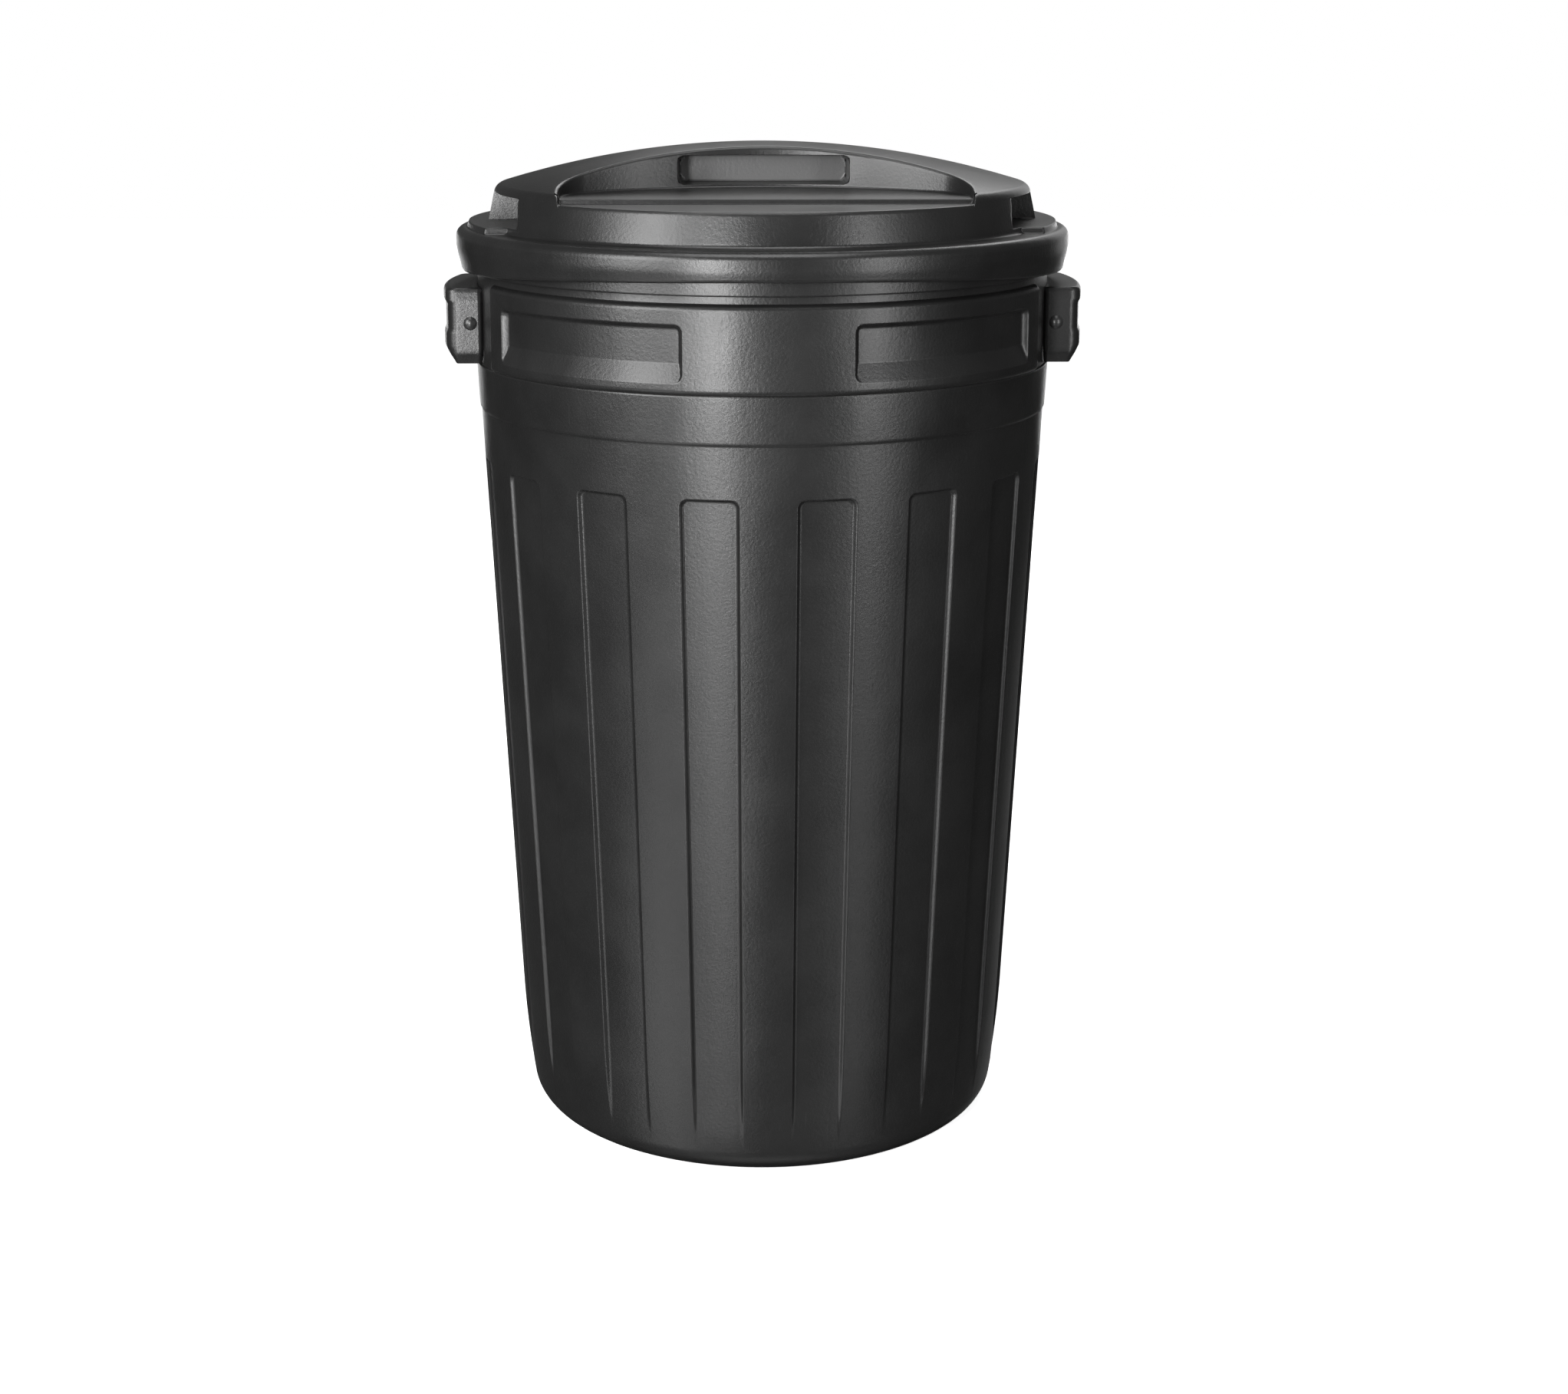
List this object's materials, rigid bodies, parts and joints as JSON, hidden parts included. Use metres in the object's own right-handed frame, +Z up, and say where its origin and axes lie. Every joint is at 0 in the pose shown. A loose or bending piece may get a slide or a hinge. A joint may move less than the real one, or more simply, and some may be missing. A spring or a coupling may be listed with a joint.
{
  "type": "waste_bin_with_lid",
  "caption": "Round black plastic waste bin with a fluted tapered tub, a belted collar, side carry handles and a lift-off domed lid with a scooped bar grip",
  "frame": {"origin": "centre of the standing ring on the floor, on the axis of the tub", "axes": "+Z up along the axis of the tub; -Y is the front with the bar grip across the view; the two carry handles are at +X and -X"},
  "size_m": [0.5224, 0.5, 0.8177],
  "materials": {
    "body_plastic": "injection moulded polyethylene, fine grained, charcoal black, semi-matte",
    "pin_plastic": "moulded nylon push-in pin, smooth, charcoal black"
  },
  "bodies": {
    "tub_body": {"tub": "body_plastic", "handle_right": "body_plastic", "handle_left": "body_plastic", "pin_right_front": "pin_plastic", "pin_right_rear": "pin_plastic", "pin_left_front": "pin_plastic", "pin_left_rear": "pin_plastic"},
    "lid_body": {"lid": "body_plastic"}
  },
  "joints": [
    {"name": "lid_lift", "type": "slide", "parent": "tub_body", "child": "lid_body", "axis": [0, 0, 1], "range_m": [0, 0.15]}
  ]
}
